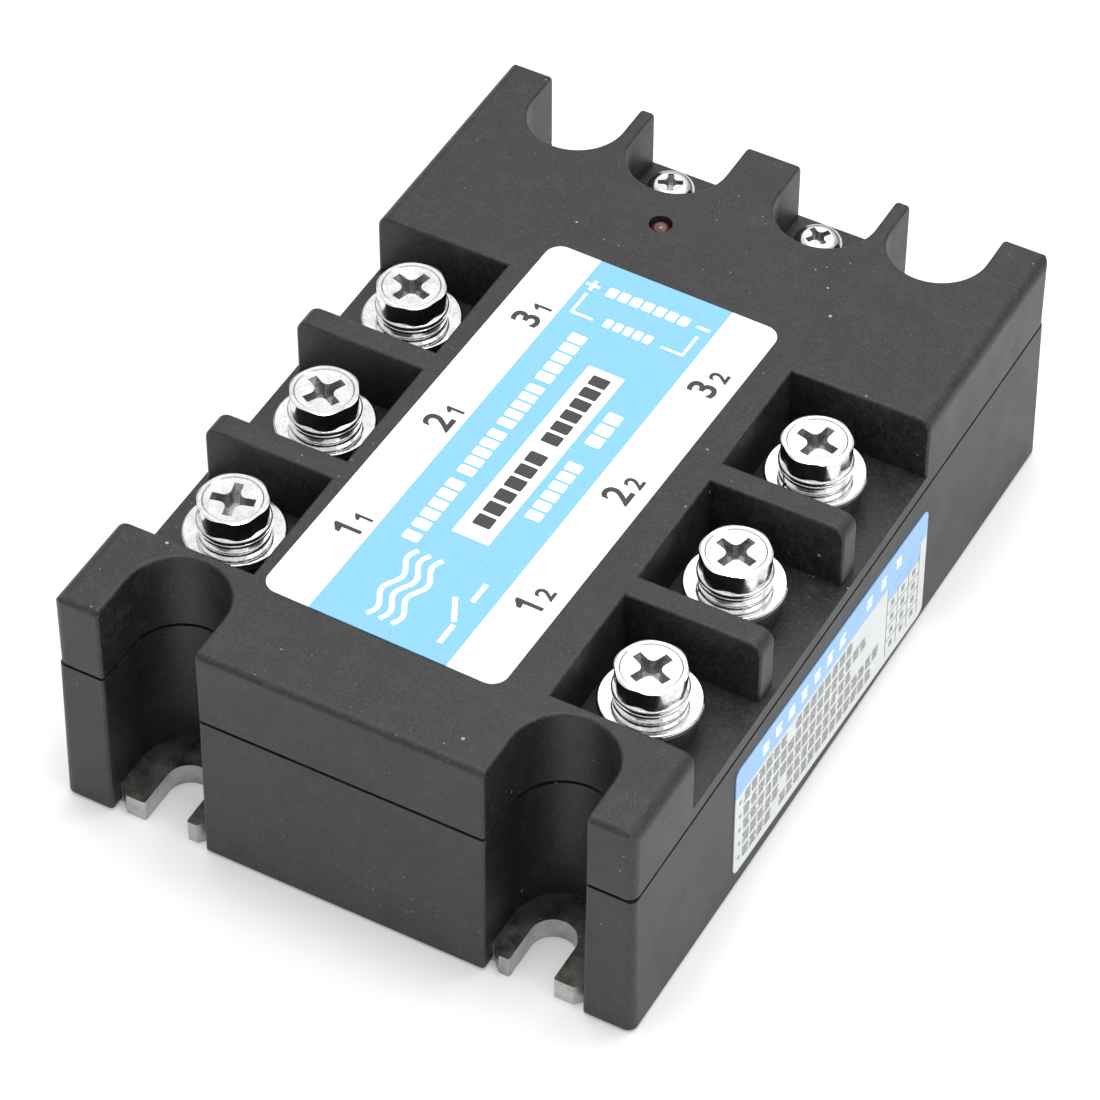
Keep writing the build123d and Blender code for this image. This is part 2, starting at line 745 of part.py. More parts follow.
def main():
    os.makedirs("parts", exist_ok=True)
    save("base_plate", base_plate())
    save("lower_case", lower_case())
    save("top_cover", top_cover())
    save("top_label", top_label())
    save("side_label", side_label())
    save("status_led", status_led())
    save("led_leads", led_leads())
    embedded = copper_islands() + die_clips() + gate_pins()
    for index, phase in enumerate(PHASES):
        for mark, side in SIDES.items():
            name = phase + mark
            terminal = output_terminal(side, index)
            post = rod(POST_RADIUS, TOP_Z, side * TERMINAL_X, phase_y(index), POST_FOOT_Z)
            embedded += [terminal, post]
            save(f"output_terminal_{name}", terminal)
            save_terminal(name, side, index)
        embedded += [ceramic_substrate(index), *thyristor_dies(index)]
        save(f"ceramic_substrate_{phase}", ceramic_substrate(index))
        save(f"thyristor_dies_{phase}", thyristor_dies(index))
        save(f"optocoupler_{phase}", optocoupler(index))
    for name, side in POLES.items():
        save_control(name, side)
    save("copper_islands", copper_islands())
    save("die_clips", die_clips())
    save("gate_pins", gate_pins())
    save("potting_compound", potting_compound(embedded))
    save("driver_board", driver_board())
    save("gate_resistors", gate_resistors())
    save("snubber_resistors", snubber_resistors())
    save("snubber_capacitors", snubber_capacitors())
    save("regulator_transistor", regulator_transistor())
    save("input_diode", input_diode())


if __name__ == "__main__":
    main()
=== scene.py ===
import json
import math
import random

import bmesh
import bpy
from mathutils import Matrix, Vector


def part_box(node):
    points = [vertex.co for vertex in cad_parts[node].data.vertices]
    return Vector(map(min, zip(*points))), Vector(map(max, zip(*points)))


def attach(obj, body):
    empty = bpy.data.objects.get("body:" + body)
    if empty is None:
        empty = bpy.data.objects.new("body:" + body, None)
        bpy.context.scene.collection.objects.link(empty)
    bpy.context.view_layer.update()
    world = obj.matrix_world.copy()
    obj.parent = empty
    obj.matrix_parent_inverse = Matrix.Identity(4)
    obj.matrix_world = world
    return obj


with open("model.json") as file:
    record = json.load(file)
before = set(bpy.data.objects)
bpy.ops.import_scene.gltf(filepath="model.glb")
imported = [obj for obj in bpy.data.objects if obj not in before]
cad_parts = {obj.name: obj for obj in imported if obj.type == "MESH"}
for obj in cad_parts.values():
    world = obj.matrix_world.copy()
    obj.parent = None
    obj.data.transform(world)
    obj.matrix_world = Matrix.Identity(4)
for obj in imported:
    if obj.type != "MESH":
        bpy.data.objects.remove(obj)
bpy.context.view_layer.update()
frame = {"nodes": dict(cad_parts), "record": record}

MM = 0.001

# The camera
AIM = Vector((0.0005, -0.0052, 0.016))
AZIMUTH = math.radians(28.70)
ELEVATION = math.radians(45.87)
DISTANCE = 0.5747
ROLL = math.radians(0.19)
LENS = 162.0

# The labels, as part.py lays them
TOP_LABEL_CENTRE = (-1.1, -7.6)
TOP_LABEL_TURN = math.radians(-1.3)
SIDE_LABEL_CENTRE = (-4.2, 10.33)
SIDE_LABEL_TURN = math.radians(-1.6)
SIDE_LABEL_SIZE = (48.8, 16.7)
TOP_BAND = (-8.96, 8.71)  # the two edges of the blue band, across the label
SIDE_HEADER = 4.25  # the height of the blue header
TOP_BLUE = (0.168, 0.459, 0.725)
TOP_PAPER = (0.9, 0.905, 0.91)
SIDE_BLUE = (0.27, 0.51, 0.86)
SIDE_PAPER = (0.72, 0.745, 0.735)
LABEL_THICKNESS = 0.12
PRINT_THICKNESS = 0.03
PRINT_SINK = 0.01  # how far the print reaches down into its label
SIDE_PRINT_LIFT = 0.004
FONT_CAP_HEIGHT = 0.729  # a capital's height in Blender's own font at size 1

# The side wall, as part.py builds it
WALL_X = 37.0
FOOT_Z = 0.2
WALL_LEAN = math.atan(0.4 / 21.8)

# The screws at rest, as part.py places them
SCREW_X = 26.65
SCREW_MIDDLE_Y = -9.8
SCREW_PITCH = 20.1
CONTROL_X = 10
CONTROL_SHIFT = -0.7
CONTROL_Y = 45.4
# Their cross recesses, where the plating gets painted shade: the radius, and the heights between which
# they lie
TERMINAL_RECESS = (2.7, 30.8, 32.7)
CONTROL_RECESS = (1.7, 27.5, 28.65)

# The light
SKY_FADE = (0.05, 0.6, 0.18, 1.18)  # heights and strengths at the horizon and overhead
FLOOR_GLOW = 0.14  # the floor is a lit paper table

DUSTY_BELOW = 25 * MM  # the floors of the recesses lie under this height


# ---------------------------------------------------------------- node helpers
class Graph:
    """Builds one material's nodes round a Principled shader."""

    def __init__(self, name):
        self.mat = bpy.data.materials.new(name)
        self.mat.use_nodes = True
        self.tree = self.mat.node_tree
        self.tree.nodes.clear()
        self.shader = self.node("ShaderNodeBsdfPrincipled")
        out = self.node("ShaderNodeOutputMaterial")
        self.link(self.shader.outputs["BSDF"], out.inputs["Surface"])
        self.place = self.node("ShaderNodeTexCoord").outputs["Object"]

    def node(self, kind, **values):
        made = self.tree.nodes.new(kind)
        for key, value in values.items():
            setattr(made, key, value)
        return made

    def link(self, a, b):
        self.tree.links.new(a, b)

    def feed(self, socket, value):
        """Links a node output, or sets a plain value."""
        if isinstance(value, bpy.types.NodeSocket):
            self.link(value, socket)
        else:
            socket.default_value = value

    def noise(self, scale, detail=3.0, roughness=0.5, place=None):
        n = self.node("ShaderNodeTexNoise")
        self.link(place or self.place, n.inputs["Vector"])
        n.inputs["Scale"].default_value = scale
        n.inputs["Detail"].default_value = detail
        n.inputs["Roughness"].default_value = roughness
        return n.outputs["Fac"]

    def cells(self, scale, out="Distance", place=None):
        n = self.node("ShaderNodeTexVoronoi")
        self.link(place or self.place, n.inputs["Vector"])
        n.inputs["Scale"].default_value = scale
        return n.outputs[out]

    def math(self, operation, a, b=0.0, clamp=False):
        n = self.node("ShaderNodeMath", operation=operation, use_clamp=clamp)
        self.feed(n.inputs[0], a)
        self.feed(n.inputs[1], b)
        return n.outputs[0]

    def span(self, value, low, high, new_low=0.0, new_high=1.0):
        """Maps low..high to new_low..new_high, and holds the ends."""
        n = self.node("ShaderNodeMapRange", clamp=True)
        self.feed(n.inputs["Value"], value)
        for socket, number in zip(
            ("From Min", "From Max", "To Min", "To Max"), (low, high, new_low, new_high)
        ):
            n.inputs[socket].default_value = number
        return n.outputs["Result"]

    def mix(self, factor, a, b):
        n = self.node("ShaderNodeMix", data_type="RGBA")
        self.feed(n.inputs["Factor"], factor)
        for socket, value in ((n.inputs["A"], a), (n.inputs["B"], b)):
            self.feed(socket, value if isinstance(value, bpy.types.NodeSocket) else (*value, 1))
        return n.outputs["Result"]

    def axis(self, index, place=None):
        n = self.node("ShaderNodeSeparateXYZ")
        self.link(place or self.place, n.inputs[0])
        return n.outputs[index]

    def moved(self, offset=(0, 0, 0), turn=(0, 0, 0), scale=(1, 1, 1), kind="POINT"):
        n = self.node("ShaderNodeMapping", vector_type=kind)
        self.link(self.place, n.inputs["Vector"])
        n.inputs["Location"].default_value = offset
        n.inputs["Rotation"].default_value = turn
        n.inputs["Scale"].default_value = scale
        return n.outputs["Vector"]

    def bump(self, height, strength, distance, below=None):
        n = self.node("ShaderNodeBump")
        self.feed(n.inputs["Height"], height)
        n.inputs["Strength"].default_value = strength
        n.inputs["Distance"].default_value = distance
        if below is not None:
            self.link(below, n.inputs["Normal"])
        return n.outputs["Normal"]

    def finish(self, color, roughness, normal=None, **fixed):
        self.feed(self.shader.inputs["Base Color"], color)
        self.feed(self.shader.inputs["Roughness"], roughness)
        if normal is not None:
            self.link(normal, self.shader.inputs["Normal"])
        for key, value in fixed.items():
            self.shader.inputs[key.replace("_", " ")].default_value = value
        return self.mat


def flecks(g, scale, radius, share, shift):
    """Small round specks: a mask that is 1 on a speck. share is how many cells hold one."""
    place = g.moved(offset=shift)
    near = g.cells(scale, place=place)
    pick = g.node("ShaderNodeSeparateColor")
    g.link(g.cells(scale, out="Color", place=place), pick.inputs[0])
    chosen = g.math("LESS_THAN", pick.outputs[0], share)
    size = g.math("MULTIPLY", pick.outputs[1], radius)
    return g.math("MULTIPLY", g.math("LESS_THAN", near, size), chosen)


# ---------------------------------------------------------------- materials
def upward(g, low, high):
    """1 where the surface faces up, 0 where it is upright."""
    return g.span(g.axis(2, g.node("ShaderNodeNewGeometry").outputs["Normal"]), low, high)


def moulded_black():
    g = Graph("moulded_black")
    cloud = g.span(g.noise(60, 4, 0.6), 0.35, 0.7)
    tint = g.mix(cloud, (0.0052, 0.0062, 0.0055), (0.0085, 0.0098, 0.0088))
    smear = g.span(g.noise(22, 5, 0.65, place=g.moved(offset=(0.4, 0.1, 0.2))), 0.52, 0.72)
    tint = g.mix(g.math("MULTIPLY", smear, 0.5), tint, (0.017, 0.0188, 0.0145))
    scuffs = g.span(g.noise(480, 6, 0.75), 0.5, 0.7)
    tint = g.mix(g.math("MULTIPLY", scuffs, 0.6), tint, (0.034, 0.037, 0.034))
    grain = g.noise(2600, 4, 0.75)
    tint = g.mix(g.span(grain, 0.46, 0.7, 0.0, 0.7), tint, (0.041, 0.0445, 0.041))
    # dust gathers in patches, lies thickest on what faces up and most of all in the recesses
    patches = g.span(
        g.noise(75, 3, 0.6, place=g.moved(offset=(0.1, 0.3, 0.5))), 0.42, 0.66, 0.12, 1.0
    )
    facing_up = upward(g, 0.2, 0.9)
    sunk = g.math("MULTIPLY", facing_up, g.math("LESS_THAN", g.axis(2), DUSTY_BELOW))
    settled = g.math("ADD", g.math("MULTIPLY", facing_up, 0.2), 0.5)
    settled = g.math("ADD", settled, g.math("MULTIPLY", sunk, 0.5), clamp=True)
    for scale, radius, share, shift, tone in (
        (420, 0.105, 0.33, (0.013, 0.027, 0.009), (0.68, 0.68, 0.65)),
        (950, 0.12, 0.28, (0.031, 0.007, 0.017), (0.42, 0.42, 0.4)),
        (2100, 0.2, 0.35, (0.005, 0.019, 0.023), (0.2, 0.2, 0.19)),
    ):
        specks = g.math("MULTIPLY", flecks(g, scale, radius, share, shift), patches)
        tint = g.mix(g.math("MULTIPLY", specks, settled), tint, tone)
    rough = g.span(g.noise(140, 4, 0.6), 0.3, 0.7, 0.42, 0.5)
    rough = g.math("ADD", rough, g.span(grain, 0.3, 0.7, -0.03, 0.04))
    rough = g.math("ADD", rough, g.math("MULTIPLY", scuffs, 0.06))
    normal = g.bump(grain, 0.5, 0.00005)
    normal = g.bump(g.noise(1100, 2, 0.5), 0.22, 0.00006, below=normal)
    return g.finish(tint, rough, normal, Specular_IOR_Level=0.5)


def recess_mask(g, across, along, radius, low, high):
    """1 inside a cylinder about an axis that is across and along away from the point."""
    square = g.math("ADD", g.math("MULTIPLY", across, across), g.math("MULTIPLY", along, along))
    inside = g.math("LESS_THAN", square, (radius * MM) ** 2)
    height = g.axis(2)
    above = g.math("GREATER_THAN", height, low * MM)
    below = g.math("LESS_THAN", height, high * MM)
    return g.math("MULTIPLY", inside, g.math("MULTIPLY", above, below))


def driver_recesses(g):
    """1 in the cross recesses of the terminal screws and of the control screws."""
    pitch = SCREW_PITCH * MM
    step = g.math("DIVIDE", g.math("SUBTRACT", g.axis(1), SCREW_MIDDLE_Y * MM), pitch)
    along = g.math("MULTIPLY", g.math("SUBTRACT", step, g.math("ROUND", step)), pitch)
    across = g.math("SUBTRACT", g.math("ABSOLUTE", g.axis(0)), SCREW_X * MM)
    terminal = recess_mask(g, across, along, *TERMINAL_RECESS)
    shifted = g.math("ABSOLUTE", g.math("SUBTRACT", g.axis(0), CONTROL_SHIFT * MM))
    across = g.math("SUBTRACT", shifted, CONTROL_X * MM)
    along = g.math("SUBTRACT", g.axis(1), CONTROL_Y * MM)
    return g.math("ADD", terminal, recess_mask(g, across, along, *CONTROL_RECESS))


def bright_plating():
    g = Graph("bright_plating")
    cloud = g.span(g.noise(520, 4, 0.6), 0.4, 0.72)
    tint = g.mix(cloud, (0.86, 0.86, 0.865), (0.62, 0.62, 0.63))
    speckle = g.span(g.noise(3200, 3, 0.7), 0.5, 0.66)
    tint = g.mix(g.math("MULTIPLY", speckle, 0.4), tint, (0.42, 0.42, 0.425))
    pits = flecks(g, 2600, 0.16, 0.3, (0.003, 0.011, 0.005))
    tint = g.mix(g.math("MULTIPLY", pits, 0.5), tint, (0.25, 0.25, 0.25))
    # painted shade: the faces that slope are darkened, as are the cross recesses, which are also
    # rougher
    # mask of sloped faces that take the painted shade
    painted_shade_slope = g.math("MULTIPLY", upward(g, 0.25, 0.5), upward(g, 0.985, 0.9))
    tint = g.mix(g.math("MULTIPLY", painted_shade_slope, 0.6), tint, (0.24, 0.24, 0.245))
    # painted shade in the cross recesses of the screws, where the plating is also made rougher
    recess = driver_recesses(g)
    recess_painted_shade = g.mix(g.span(g.noise(1900, 3, 0.6), 0.35, 0.65), (0.5, 0.5, 0.505), (0.2, 0.2, 0.205))
    tint = g.mix(g.math("MULTIPLY", recess, 0.85), tint, recess_painted_shade)
    rough = g.span(g.noise(1100, 4, 0.6), 0.35, 0.75, 0.05, 0.2)
    rough = g.math("ADD", rough, g.math("MULTIPLY", recess, 0.3))
    normal = g.bump(g.noise(650, 2, 0.5), 0.16, 0.0001)
    normal = g.bump(g.noise(5200, 3, 0.6), 0.1, 0.00003, below=normal)
    return g.finish(tint, rough, normal, Metallic=1.0)


def plate_aluminium():
    """Bright sawn edges, and mottled faces that look up, painted dark as shade and as a reflection of
    the dark walls.
    """
    g = Graph("plate_aluminium")
    # painted shade: the faces that look up get a dark mottled tone for their shadow and the dark walls
    # they reflect
    painted_shade_mottle = g.span(g.noise(330, 5, 0.65), 0.4, 0.66)
    face = g.mix(painted_shade_mottle, (0.2, 0.19, 0.175), (0.05, 0.049, 0.048))
    specks = flecks(g, 1100, 0.16, 0.5, (0.021, 0.004, 0.011))
    face = g.mix(g.math("MULTIPLY", specks, 0.7), face, (0.5, 0.49, 0.47))
    sawn = g.mix(g.span(g.noise(260, 5, 0.65), 0.35, 0.68), (0.52, 0.515, 0.505), (0.3, 0.295, 0.285))
    nicks = g.span(g.noise(1500, 4, 0.7), 0.58, 0.72)
    sawn = g.mix(g.math("MULTIPLY", nicks, 0.6), sawn, (0.14, 0.135, 0.13))
    # mask of the faces that look up, which take the painted shade
    flat = upward(g, 0.5, 0.9)
    lines = g.noise(1.0, 3, 0.6, place=g.moved(scale=(9000, 9000, 300)))
    rough = g.math("ADD", g.span(lines, 0.3, 0.7, 0.28, 0.42), g.math("MULTIPLY", flat, 0.15))
    normal = g.bump(lines, 0.15, 0.00003)
    return g.finish(g.mix(flat, sawn, face), rough, normal, Metallic=1.0)


def film(name, split_place, axis_index, low, high, band, paper):
    """Printed film with one coloured band between two distances across the label."""
    g = Graph(name)
    across = g.axis(axis_index, g.moved(*split_place, kind="TEXTURE"))
    inside = g.math(
        "MULTIPLY", g.math("GREATER_THAN", across, low * MM), g.math("LESS_THAN", across, high * MM)
    )
    grain = g.noise(2600, 3, 0.6)
    worn = tuple(0.94 * c for c in paper)
    white = g.mix(g.span(g.noise(120, 3, 0.5), 0.3, 0.7), paper, worn)
    faded = tuple(c + 0.06 * (1 - c) for c in band)
    ink = g.mix(g.span(grain, 0.3, 0.7), band, faded)
    tint = g.mix(inside, white, ink)
    rough = g.span(g.noise(300, 3, 0.6), 0.3, 0.7, 0.34, 0.46)
    normal = g.bump(grain, 0.08, 0.00002)
    return g.finish(tint, rough, normal)


def simple(name, dark, light, rough, scale=400, bump=0.1, **fixed):
    """A two-tone material with clouded colour and roughness and a fine bump."""
    g = Graph(name)
    cloud = g.noise(scale, 4, 0.6)
    tint = g.mix(g.span(cloud, 0.3, 0.7), dark, light)
    low, high = rough
    finish = g.span(g.noise(scale * 2.7, 3, 0.55), 0.3, 0.7, low, high)
    normal = g.bump(g.noise(scale * 9, 3, 0.6), bump, 0.00004)
    return g.finish(tint, finish, normal, **fixed)


def lamp_red():
    g = Graph("lamp_red")
    cloud = g.noise(900, 3, 0.6)
    tint = g.mix(g.span(cloud, 0.3, 0.7), (0.075, 0.019, 0.018), (0.108, 0.03, 0.028))
    rough = g.span(g.noise(1500, 3, 0.6), 0.3, 0.7, 0.07, 0.13)
    return g.finish(tint, rough, g.bump(cloud, 0.05, 0.00003), Coat_Weight=0.5, Specular_IOR_Level=0.5)


def banded_resistor():
    """Lacquered body with colour rings at steps along Y."""
    g = Graph("resistor_coat")
    ring_step = 1.3
    along = g.math("MULTIPLY", g.axis(1), 1000 / ring_step)
    ring = g.math("LESS_THAN", g.math("FRACT", along), 0.4)
    rings = g.mix(g.noise(250, 0, 0.5), (0.45, 0.12, 0.02), (0.05, 0.05, 0.05))
    coat = g.mix(g.noise(500, 3, 0.5), (0.22, 0.42, 0.5), (0.26, 0.46, 0.55))
    return g.finish(g.mix(ring, coat, rings), g.span(g.noise(800), 0.3, 0.7, 0.3, 0.45))


def paint_nodes():
    """Gives every CAD node its material by the record's slot."""
    by_slot = {
        "moulded_black": moulded_black(),
        "bright_plating": bright_plating(),
        "plate_aluminium": plate_aluminium(),
        "terminal_metal": simple(
            "terminal_metal", (0.68, 0.66, 0.58), (0.78, 0.76, 0.7), (0.2, 0.35), Metallic=1.0
        ),
        "led_lens": lamp_red(),
        "tinned_wire": simple(
            "tinned_wire", (0.6, 0.6, 0.6), (0.75, 0.75, 0.74), (0.25, 0.4), Metallic=1.0
        ),
        "alumina": simple("alumina", (0.82, 0.81, 0.77), (0.88, 0.87, 0.84), (0.5, 0.65)),
        "copper": simple(
            "copper", (0.62, 0.3, 0.19), (0.76, 0.42, 0.29), (0.25, 0.4), Metallic=1.0
        ),
        "silicon": simple("silicon", (0.1, 0.11, 0.13), (0.19, 0.2, 0.23), (0.15, 0.3)),
        "resin": simple("resin", (0.06, 0.06, 0.065), (0.1, 0.1, 0.11), (0.3, 0.5), scale=150),
        "board_green": simple("board_green", (0.02, 0.16, 0.07), (0.04, 0.24, 0.11), (0.25, 0.4)),
        "package_black": simple("package_black", (0.02, 0.02, 0.024), (0.04, 0.04, 0.045), (0.4, 0.55)),
        "resistor_coat": banded_resistor(),
        "capacitor_box": simple("capacitor_box", (0.68, 0.48, 0.06), (0.78, 0.58, 0.1), (0.25, 0.4)),
    }
    labels = {
        "top_label": film(
            "top_film",
            ((TOP_LABEL_CENTRE[0] * MM, TOP_LABEL_CENTRE[1] * MM, 0), (0, 0, TOP_LABEL_TURN)),
            0,
            *TOP_BAND,
            TOP_BLUE,
            TOP_PAPER,
        ),
        "side_label": film(
            "side_film",
            (
                (0, SIDE_LABEL_CENTRE[0] * MM, SIDE_LABEL_CENTRE[1] * MM),
                (SIDE_LABEL_TURN, 0, 0),
            ),
            2,
            SIDE_LABEL_SIZE[1] / 2 - SIDE_HEADER,
            SIDE_LABEL_SIZE[1],
            SIDE_BLUE,
            SIDE_PAPER,
        ),
    }
    for row in frame["record"]["subparts"]:
        mesh = frame["nodes"][row["node"]].data
        mesh.materials.clear()
        mesh.materials.append(labels.get(row["node"]) or by_slot[row["material_slot"]])


# ---------------------------------------------------------------- label printing
class Print:
    """Flat printed shapes on one label, gathered into one thin mesh."""

    def __init__(self, place):
        self.mesh = bmesh.new()
        self.place = place

    def shape(self, outline):
        """One closed outline in label millimetres, anticlockwise."""
        rows = []
        for height in (-PRINT_SINK, PRINT_THICKNESS):
            rows.append(
                [self.mesh.verts.new(self.place @ Vector((x, y, height)) * MM) for x, y in outline]
            )
        low, high = rows
        self.mesh.faces.new(high)
        self.mesh.faces.new(low[::-1])
        for i in range(len(outline)):
            j = (i + 1) % len(outline)
            self.mesh.faces.new((low[i], low[j], high[j], high[i]))

    def block(self, x, y, width, height):
        """A square-cornered bar centred at x, y."""
        w, h = width / 2, height / 2
        self.shape([(x - w, y - h), (x + w, y - h), (x + w, y + h), (x - w, y + h)])

    def bar(self, x, y, width, height, radius=0.25):
        """A rounded bar centred at x, y."""
        radius = min(radius, width / 2 - 0.01, height / 2 - 0.01)
        outline = []
        for quarter, (sx, sy) in enumerate(((1, 1), (-1, 1), (-1, -1), (1, -1))):
            for step in range(5):
                turn = math.radians(90 * quarter + 22.5 * step)
                outline.append(
                    (
                        x + sx * (width / 2 - radius) + radius * math.cos(turn),
                        y + sy * (height / 2 - radius) + radius * math.sin(turn),
                    )
                )
        self.shape(outline)

    def run(self, x, low, high, height, count, gap=0.36):
        """A line of short equal bars that runs along Y from low to high."""
        step = (high - low + gap) / count
        for i in range(count):
            self.bar(x, low + (step - gap) / 2 + i * step, height, step - gap, 0.22)

    def ribbon(self, points, width):
        """A stroke of even width along an open line of points."""
        points = [Vector(p) for p in points]
        left, right = [], []
        for i, point in enumerate(points):
            before = points[max(i - 1, 0)]
            after = points[min(i + 1, len(points) - 1)]
            along = (after - before).normalized()
            side = Vector((-along.y, along.x)) * width / 2
            left.append(point + side)
            right.append(point - side)
        self.shape([tuple(p) for p in right + left[::-1]])

    def one(self, x, y, height, stem):
        """The numeral 1 with a flag, centred at x, y and read along +Y."""
        half, flag = height / 2, 0.22 * height
        right = (stem + flag) / 2
        left = right - stem
        written = (
            (left, -half),
            (right, -half),
            (right, half),
            (left + 0.2 * stem, half),
            (left - flag, half - 0.2 * height),
            (left - flag, half - 0.2 * height - stem),
            (left, half - 0.32 * height),
        )
        self.shape([(x - up, y + along) for along, up in written])

    def plus(self, x, y, span, width):
        """A plus sign centred at x, y."""
        s, w = span / 2, width / 2
        quarter = ((s, -w), (s, w), (w, w))
        outline = []
        for cos, sin in ((1, 0), (0, 1), (-1, 0), (0, -1)):
            outline += [(x + a * cos - b * sin, y + a * sin + b * cos) for a, b in quarter]
        self.shape(outline)

    def angle(self, x, y, reach_x, reach_y, width):
        """An L with its outer corner at x, y and its legs along X and Y."""
        wx, wy = math.copysign(width, reach_x), math.copysign(width, reach_y)
        self.shape(
            [
                (x, y),
                (x + reach_x, y),
                (x + reach_x, y + wy),
                (x + wx, y + wy),
                (x + wx, y + reach_y),
                (x, y + reach_y),
            ]
        )

    def glyph(self, text, x, y, height, turn, weight=0.0):
        """A numeral centred at x, y, turned anticlockwise, from Blender's own plain font."""
        curve = bpy.data.curves.new("numeral", "FONT")
        curve.body = text
        curve.size = height / FONT_CAP_HEIGHT
        curve.offset = weight
        curve.extrude = (PRINT_THICKNESS + PRINT_SINK) / 2
        curve.resolution_u = 6
        holder = bpy.data.objects.new("numeral", curve)
        solid = bpy.data.meshes.new_from_object(holder)
        xs = [v.co.x for v in solid.vertices]
        ys = [v.co.y for v in solid.vertices]
        middle = Vector(((min(xs) + max(xs)) / 2, (min(ys) + max(ys)) / 2, 0))
        put = (
            Matrix.Scale(MM, 4)
            @ self.place
            @ Matrix.Translation((x, y, (PRINT_THICKNESS - PRINT_SINK) / 2))
            @ Matrix.Rotation(turn, 4, "Z")
            @ Matrix.Translation(-middle)
        )
        solid.transform(put)
        self.mesh.from_mesh(solid)
        bpy.data.objects.remove(holder)
        bpy.data.curves.remove(curve)
        bpy.data.meshes.remove(solid)

    def make(self, name, material):
        bmesh.ops.remove_doubles(self.mesh, verts=self.mesh.verts, dist=1e-8)
        bmesh.ops.recalc_face_normals(self.mesh, faces=self.mesh.faces)
        data = bpy.data.meshes.new(name)
        self.mesh.to_mesh(data)
        self.mesh.free()
        piece = bpy.data.objects.new(name, data)
        bpy.context.scene.collection.objects.link(piece)
        data.materials.append(material)
        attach(piece, "housing")


def top_print(black, white):
    """Terminal numbers on the white margins, and plain bars and signs in the blue band."""
    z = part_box("top_label")[1].z / MM
    place = Matrix.Translation((*TOP_LABEL_CENTRE, z)) @ Matrix.Rotation(TOP_LABEL_TURN, 4, "Z")
    dark, light = Print(place), Print(place)
    quarter = math.pi / 2
    large, small = 3.5, 2.3
    for row, y in enumerate((-20.4, -0.4, 19.5)):
        for column, x in enumerate((-11.6, 11.9)):
            if row == 0:
                dark.one(x, y, large, 0.52)
            else:
                dark.glyph(str(row + 1), x, y, large, quarter, 0.1)
            if column == 0:
                dark.one(x + 0.75, y + 2.35, small, 0.36)
            else:
                dark.glyph(str(column + 1), x + 0.75, y + 2.6, small, quarter, 0.07)
    # a long line of short bars, then a shorter one
    words = ((-18.2, -16.8), (-16.1, -7.4), (-6.2, 1.8), (2.7, 10.4), (11.3, 20.2))
    for count, (low, high) in zip((1, 5, 5, 5, 5), words):
        light.run(-4.73, low, high, 2.1, count)
    for count, (low, high) in zip((6, 3), ((-8.6, 1.6), (4.9, 10.8))):
        light.run(5.5, low, high, 1.95, count)
    # the white panel with two groups of dark bars in it
    light.bar(1.04, 0.85, 4.78, 30.9, 0.1)
    panel = Print(Matrix.Translation((0, 0, PRINT_THICKNESS)) @ place)
    for low, high in ((-12.4, 0.9), (2.8, 15.2)):
        panel.run(1.1, low, high, 2.3, 6, 0.5)
    # three small waves and a switch contact
    stroke = 0.62
    for row in range(3):
        wave = [
            (-2.9 + 1.6 * row + 0.55 * math.sin(step * math.pi / 6), -30.2 + step * 0.46)
            for step in range(25)
        ]
        light.ribbon(wave, stroke)
    light.ribbon([(6.3, -30.0), (6.3, -26.9)], stroke)
    light.ribbon([(6.1, -26.5), (4.3, -23.2)], stroke)
    light.ribbon([(6.3, -22.9), (6.3, -19.8)], stroke)
    # the control end: brackets, a plus and a minus
    bracket, sign = 0.36, 0.42
    light.angle(-7.83, 23.02, 3.06, 3.78, bracket)
    light.angle(7.33, 23.02, -3.06, 3.78, bracket)
    light.plus(-7.65, 28.3, 1.8, sign)
    light.block(7.15, 28.3, 1.7, sign)
    for count, span, y, height in ((5, 6.6, 23.5, 1.45), (7, 11.2, 28.3, 1.55)):
        step = span / count
        for i in range(count):
            light.bar((i - (count - 1) / 2) * step - 0.25, y, step - 0.34, height, 0.2)
    dark.make("top_print_numerals", black)
    light.make("top_print_white", white)
    panel.make("top_print_panel_bars", black)


def side_place():
    """The side label's own axes: along the relay, up the wall and out of it."""
    cos, sin = math.cos(WALL_LEAN), math.sin(WALL_LEAN)
    up = Vector((-sin, 0, cos))
    along = Vector((0, 1, 0))
    out = Vector((cos, 0, sin))
    turn = SIDE_LABEL_TURN
    u = along * math.cos(turn) + up * math.sin(turn)
    v = up * math.cos(turn) - along * math.sin(turn)
    y, z = SIDE_LABEL_CENTRE
    wall_x = WALL_X - (z - FOOT_Z) * math.tan(WALL_LEAN)
    centre = Vector((wall_x + SIDE_PRINT_LIFT, y, z)) + out * LABEL_THICKNESS
    axes = Matrix((u, v, out)).transposed().to_4x4()
    return Matrix.Translation(centre) @ axes


